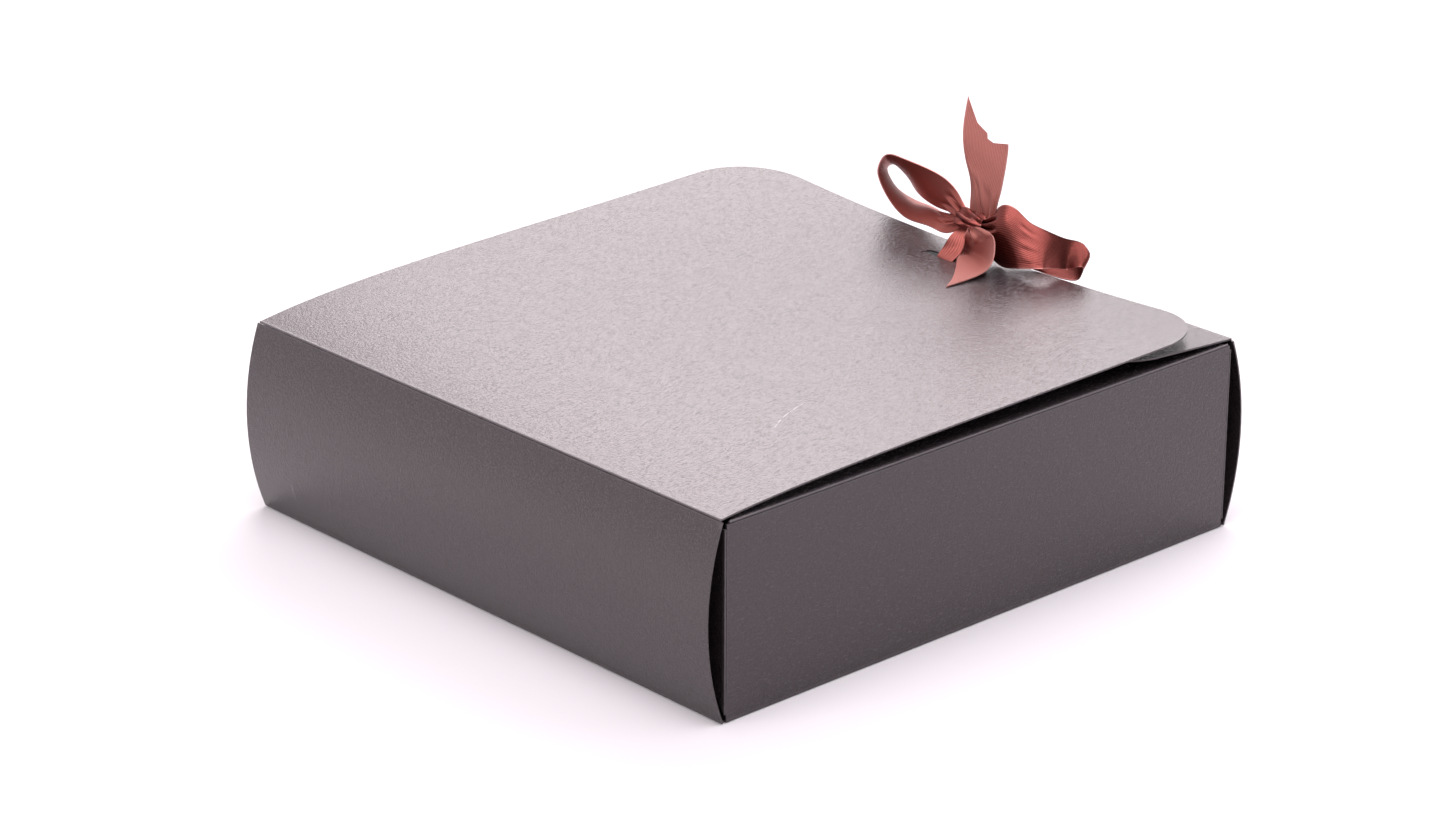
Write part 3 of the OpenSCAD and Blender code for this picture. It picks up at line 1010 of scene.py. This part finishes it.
    def under(self) -> bpy.types.Object:
        """Strand under the flap, round its free edge and up to the knot."""
        box = self.box
        clear = box.board / 2 + self.gap + self.half
        strap = np.array(self.strap_y)
        lie_rows, bend_rows, rise_rows = self.under_rows
        q = np.linspace(box.outer_reach - box.slot_back + 2 * self.gap, box.outer_reach, lie_rows)
        below = box.outer_height(q, strap) - clear
        lie = np.stack([q - box.crease_x, np.full_like(q, self.strap_y), below], -1)
        edge_z = float(box.outer_height(np.array(box.outer_reach), strap))
        a = np.radians(np.linspace(5, 90, bend_rows))
        out, up = self.edge_x + clear * np.sin(a), edge_z - clear * np.cos(a)
        bend = np.stack([out, np.full_like(a, self.strap_y), up], -1)
        top = point(self.edge_x + clear, self.strap_y, edge_z)
        goal = self.knot_at + point(0.0, 0.0, -1.0)
        lift = point(0.0, 0.0, 2 * clear)
        pulls = [top, top + lift, mix(top, goal, 0.7), goal]
        rise = bezier(pulls, np.linspace(0.05, 1.0, rise_rows))
        line = np.concatenate([lie, bend, rise])
        spread = (self.strap * mix(*self.strap_spread, np.linspace(0.0, 1.0, len(line))))[:, None] / 2
        side = point(0.0, 1.0, 0.0)
        left, right = line - side * spread, line + side * spread
        grid = folded(left, right, self.under_layers, self.layer_gap, self.cols)
        return self.piece("ribbon_under", "strand", grid, 28.0, Held.FOLDED, ["outer_flap"])

    def knot(self) -> bpy.types.Object:
        """Wrap round the middle of the bow: a barrel of little more than a turn, with slanted gathers."""
        start, end = self.knot_turn
        turn = np.linspace(start, end, self.knot_rows)
        s = np.linspace(-1.0, 1.0, self.cols)[None, :]
        a = np.radians(turn)[:, None]
        layer = self.knot_layer * (turn[:, None] - start) / (end - start)
        folds = np.cos(self.knot_pleats * a + 3.0 * s) + 0.6 * np.cos(4 * a - 2.5 * s + 1.0)
        profile = self.knot_end + (1 - self.knot_end) * np.sqrt(np.maximum(1 - s**2, 0.0))
        waist = 1 - self.knot_waist * np.exp(-(((s + 0.1) / 0.3) ** 2))
        r = (self.knot_radius + layer + self.knot_pleat * folds) * profile * waist
        grid = np.stack(np.broadcast_arrays(r * np.cos(a), s * self.knot_length / 2, r * np.sin(a)), -1)
        grid = (self.knot_at + grid)[:, ::-1]
        return self.piece("ribbon_knot", "wrap", grid, 22.0, Held.GATHERED, ["ribbon_back_loop"])

    def back_loop(self) -> bpy.types.Object:
        """Cone-shaped loop at the back: its near rim stands open, its far rim is smaller."""
        near = [
            (-1.5, -1, -1), (-8.5, -3.75, -5), (-15.9, -0.8, -15), (-23.3, 2.5, -23),
            (-28.9, 9.1, -28), (-32.7, 17.4, -31), (-33, 20.8, -31.5), (-31.2, 24.9, -31),
            (-25.3, 24.7, -25), (-16.3, 20.4, -16), (-8.5, 15.2, -8), (-1.5, 4, -1),
        ]
        far = [
            (-1.5, 0.5, -4), (-6.5, 2.5, -16), (-13.6, 7.1, -33), (-17.9, 9.4, -43),
            (-23.3, 12.9, -48), (-28, 18.8, -51), (-29, 22.4, -51), (-26.6, 24, -50),
            (-22.2, 20.5, -47), (-18.6, 13.5, -40), (-13, 7.5, -28), (-1.5, 1.5, -5),
        ]
        grid = self.net([near, far], [0, 1])
        v = np.linspace(0.0, 1.0, self.cols)[None, :]
        crown = np.broadcast_to(-self.back_crown * v * (1 - v), grid.shape[:2])
        grid = self.gathers(shifted(grid, crown), 3.0, 1.0, 0.5)
        return self.piece("ribbon_back_loop", "band", grid, 111.0, Held.GATHERED, ["ribbon_knot"])

    def front_loop(self) -> bpy.types.Object:
        """Flattened loop at the front: it stands on edge, twists forward and returns behind and below."""
        top = [
            (1.5, 0, 0), (6, 1.25, 6.5), (10.5, 5.25, 13), (15.25, 3.5, 15.5), (19.75, -1, 17.6),
            (23.5, -3.2, 19.3), (28.5, -5.5, 20.4), (33, -7.1, 20), (36.8, -8, 20.4),
            (39.3, -9.8, 21), (39.5, -13, 18.8), (37, -11, 13.8), (29.5, -9, 9.5), (16, -4.5, 6),
            (1.5, -1.25, -1),
        ]
        middle = [
            (1.5, -1.25, 1.5), (5, -3, 8.5), (10.2, -3.5, 15), (14.8, -5.5, 17.6),
            (19.5, -8.5, 19.6), (23.5, -10.2, 21.1), (28.5, -11.6, 20.4), (33, -12.4, 19.4),
            (37, -12.6, 21.4), (40.6, -12.8, 22.2), (39.5, -15.5, 19.2), (36.5, -16.5, 15),
            (28.5, -15.8, 12.5), (15.5, -10, 8.5), (1.5, -2.5, 0),
        ]
        low = [
            (1.25, -2.25, 2), (4, -9.5, 4.5), (10, -16.5, 9.3), (14, -17.75, 17), (19.5, -18, 21.8),
            (23.7, -18, 23.1), (28.5, -17.8, 20), (33, -18, 18.6), (36, -17.4, 21.8),
            (38.2, -17.4, 22.6), (38, -19.8, 20.5), (36.5, -21.8, 19), (29.5, -20.7, 16.3),
            (16, -15, 9.8), (1.5, -4, 1),
        ]
        grid = self.net([top, middle, low], [0, 0.5, 1])
        grid = self.gathers(grid, 4.5, 1.1, 0.4, 34.0)
        return self.piece("ribbon_front_loop", "band", grid, 100.0, Held.GATHERED, ["ribbon_knot"])

    def tall_tail(self) -> bpy.types.Object:
        """Standing tail, folded along its left side, with a slanted, slightly frayed cut."""
        left = [
            (0.25, -1, -3), (-0.7, 3.6, -2.5), (-0.7, 7.2, -1.5), (-0.6, 11.5, -0.5), (-1, 15.9, 0),
            (-2.1, 21.8, -1), (-3.1, 29.8, -3), (-2.6, 37.7, -5), (-1.1, 46, -7),
        ]
        fold = [
            (2.75, -1, 2), (4.25, 2, 4), (3, 6.3, 5), (1.6, 12.7, 4), (-0.3, 17.6, 2),
            (-1.6, 21.8, 0), (-2.4, 29.8, -2.25), (-1.8, 37.4, -4.5), (-0.4, 45, -6.5),
        ]
        right = [
            (4.25, -1.25, 4), (7.8, 2.5, 8), (8.6, 6.1, 10), (9.7, 10, 11), (10.6, 14.2, 11),
            (11.4, 18.4, 10.5), (12.1, 22.8, 9.5), (12.4, 25.1, 9), (12.5, 27.4, 8.5),
        ]
        u = np.linspace(0.0, 1.0, self.rows)
        fold_at = np.array([0.4, 0.42, 0.42, 0.36, 0.2, 0.06, 0.05, 0.05, 0.05])
        share = thread(fold_at, np.linspace(0, 1, len(fold_at)), u)[:, None, None]
        left, fold, right = (self.net([g, g], [0, 1])[:, 0] for g in (left, fold, right))
        v = np.linspace(0.0, 1.0, self.cols)
        part = v[None, :, None] / share
        rest = (v[None, :, None] - share) / (1 - share)
        left, fold, right = left[:, None], fold[:, None], right[:, None]
        grid = np.where(part < 1, mix(left, fold, part), mix(fold, right, rest))
        short_by = np.interp(v, [0, 0.284, 0.525, 0.54, 0.68, 0.85, 1], [0, 4.5, 4.1, 5.6, 4.8, 2.2, 0])
        long_side, short_side = 46.0, 28.0
        end = (len(u) - 1) * (1 - short_by / mix(long_side, short_side, v))
        at = u[:, None] * end[None, :]
        low = np.minimum(at.astype(int), len(u) - 2)
        column = np.arange(self.cols)[None, :]
        grid = mix(grid[low, column], grid[low + 1, column], (at - low)[..., None])
        grid = self.gathers(grid, 3.0, 0.4, 0.3)
        return self.piece("ribbon_tall_tail", "end", grid, 36.0, Held.GATHERED, ["ribbon_knot"], 48.0)

    def low_tail(self) -> bpy.types.Object:
        """Lying tail, folded into a trough that flattens towards its cut."""
        left = [
            (-1.5, -2.5, 2), (-2.4, -5.5, 2), (-3.3, -9, -5.5), (-4.4, -11.5, -1), (-5, -13.2, 4),
            (-5.5, -13.8, 4),
        ]
        valley = [
            (-1, -2.5, 2), (0.2, -6.2, 5), (2.2, -9.8, 2.5), (3.6, -13.3, 2.6), (0.6, -17.5, 13),
            (-7.5, -20, 19.5),
        ]
        right = [
            (0, -1.5, 2), (4.75, -4.2, 12), (7.1, -8, 17), (6.4, -14.5, 20.5), (0.6, -20.5, 23.5),
            (-11, -24.75, 32),
        ]
        grid = self.gathers(self.net([left, valley, right], [0, 0.45, 1]), 2.5, 0.5, 0.3)
        return self.piece("ribbon_low_tail", "end", grid, 34.0, Held.LAID, ["outer_flap"], 50.0)

    def build(self) -> None:
        """Makes every length of the ribbon in its satin; the stem and the back loop get a darker copy of
        the face, painted shade.
        """
        face = Satin().make()
        back = Satin(
            "satin_back",
            deep=(0.325, 0.094, 0.076),
            face=(0.51, 0.168, 0.138),
            glint=(0.68, 0.34, 0.3),
            rough=0.6,
            metal=0.1,
            sheen=0.15,
            float_depth=0.1,
        ).make()
        # Painted shade: a darker copy of the face satin, for the parts that lie in shade.
        inside = Satin(
            "satin_painted_shade",
            deep=(0.24, 0.052, 0.042),
            face=(0.46, 0.125, 0.1),
            glint=(0.64, 0.3, 0.27),
            rough=0.42,
            metal=0.6,
            float_depth=0.06,
        ).make()
        for maker in (self.under, self.knot, self.front_loop):
            dress(maker(), face)
        # The stem and the back loop take the copy with painted shade.
        dress(self.stem(), inside)
        for maker in (self.tall_tail, self.low_tail):
            dress(maker(), back)
        dress(self.back_loop(), inside)


# The studio


@dataclass
class Softbox:
    """One rectangular lamp, placed and sized in metres."""

    name: str
    at: Triple
    size: Pair
    radiance: float
    tint: Colour = (1.0, 0.97, 0.985)
    aim: Triple = (0.0, 0.0, 0.05)

    def build(self) -> None:
        """Hangs the lamp and aims it."""
        lamp = bpy.data.lights.new(self.name, "AREA")
        lamp.shape = "RECTANGLE"
        lamp.size, lamp.size_y = self.size
        lamp.energy = self.radiance * math.pi * self.size[0] * self.size[1]
        lamp.color = self.tint
        hung = bpy.data.objects.new(self.name, lamp)
        hung.location = self.at
        hung.rotation_euler = (Vector(self.aim) - Vector(self.at)).to_track_quat("-Z", "Y").to_euler()
        hung.visible_camera = False
        bpy.context.scene.collection.objects.link(hung)


@dataclass
class Studio:
    """White sweep, soft lamps and the camera."""

    floor_size: float = 12000.0
    floor_drop: float = 0.2
    floor_points: int = 9
    sky: float = 0.42
    room: float = 0.12
    back_way: Triple = (0.68, 0.73, 0.5)
    back_fade: Pair = (-0.75, 0.1)
    sky_tint: Colour = (1.0, 0.95, 0.975)
    eye: Triple = (-923.5, -993.3, 574.7)
    target: Triple = (5.65, 16.86, 34.93)
    roll: float = 0.25
    lens: float = 103.7
    sensor: float = 36.0
    clip: Pair = (50.0, 50000.0)

    def camera(self) -> None:
        """Camera at the fitted place, aimed at the target and rolled a little."""
        data = bpy.data.cameras.new("camera")
        data.sensor_width = self.sensor
        data.lens = self.lens
        data.clip_start, data.clip_end = self.clip[0] * MM, self.clip[1] * MM
        eye, target = Vector(self.eye) * MM, Vector(self.target) * MM
        turn = (target - eye).to_track_quat("-Z", "Y").to_matrix().to_4x4()
        camera = bpy.data.objects.new("camera", data)
        roll = Matrix.Rotation(math.radians(self.roll), 4, "Z")
        camera.matrix_world = Matrix.Translation(eye) @ turn @ roll
        bpy.context.scene.collection.objects.link(camera)
        bpy.context.scene.camera = camera

    def floor(self) -> None:
        """Flat white sweep just under the box."""
        half, n = self.floor_size / 2, self.floor_points
        line = np.linspace(-half, half, n)
        x, y = np.meshgrid(line, line, indexing="ij")
        points = np.stack([x, y, np.full_like(x, -self.floor_drop)], -1).reshape(-1, 3)
        number = np.arange(n * n).reshape(n, n)
        corners = number[:-1, :-1], number[1:, :-1], number[1:, 1:], number[:-1, 1:]
        faces = np.stack(corners, -1).reshape(-1, 4)
        sweep = put_mesh("sweep", points, faces)
        dress(sweep, Tabletop().make())

    def world(self) -> None:
        """Plain white to camera and transmission rays, else a tinted sky.

        The sky falls off towards the front, and gloss rays see it at full level.
        """
        world = bpy.data.worlds.new("studio")
        world.use_nodes = True
        b = Bench(world.node_tree)
        path = b.add("ShaderNodeLightPath")
        camera = Sock(b, path.outputs["Is Camera Ray"]).most(Sock(b, path.outputs["Is Transmission Ray"]))
        gloss = Sock(b, path.outputs["Is Glossy Ray"])
        x, y, z = b.axes(b.get("ShaderNodeTexCoord", "Generated"))
        way = self.back_way
        behind = (x * way[0] + y * way[1] + z * way[2]).ease(*self.back_fade)
        level = (behind * (1.0 - self.room) + self.room) * (gloss * (1.0 - self.sky) + self.sky)
        colour = b.blend(camera, self.sky_tint, (1.0, 1.0, 1.0))
        inputs = {"Color": colour, "Strength": level.most(camera)}
        shader = b.get("ShaderNodeBackground", "Background", None, inputs)
        b.finish(shader, "ShaderNodeOutputWorld")
        bpy.context.scene.world = world

    def lamps(self) -> None:
        """Four softboxes: behind the box, to its left, overhead and front right."""
        for box in (
            Softbox("back_softbox", (1.55, 0.98, 1.55), (2.4, 1.9), 3.4, (1.0, 0.955, 0.965)),
            Softbox("left_softbox", (-1.45, 0.1, 1.4), (0.9, 0.9), 4.4, (1.0, 0.93, 0.96)),
            Softbox("top_softbox", (-0.25, -0.45, 2.1), (1.6, 1.6), 4.1, (1.0, 0.94, 0.97)),
            Softbox("right_softbox", (1.5, -1.3, 1.2), (1.2, 1.0), 1.5, (0.85, 0.9, 1.0)),
        ):
            box.build()

    def build(self) -> None:
        """Sets up the whole studio."""
        bpy.context.scene.view_settings.view_transform = "Standard"
        self.camera()
        self.floor()
        self.world()
        self.lamps()


def main() -> None:
    """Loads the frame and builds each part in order."""
    logging.basicConfig(level=logging.INFO, format="%(name)s: %(message)s")
    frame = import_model()
    Studio().build()
    box = CardBox()
    box.build(frame["nodes"])
    RibbonBow(box).build()


if __name__ == "__main__":
    main()
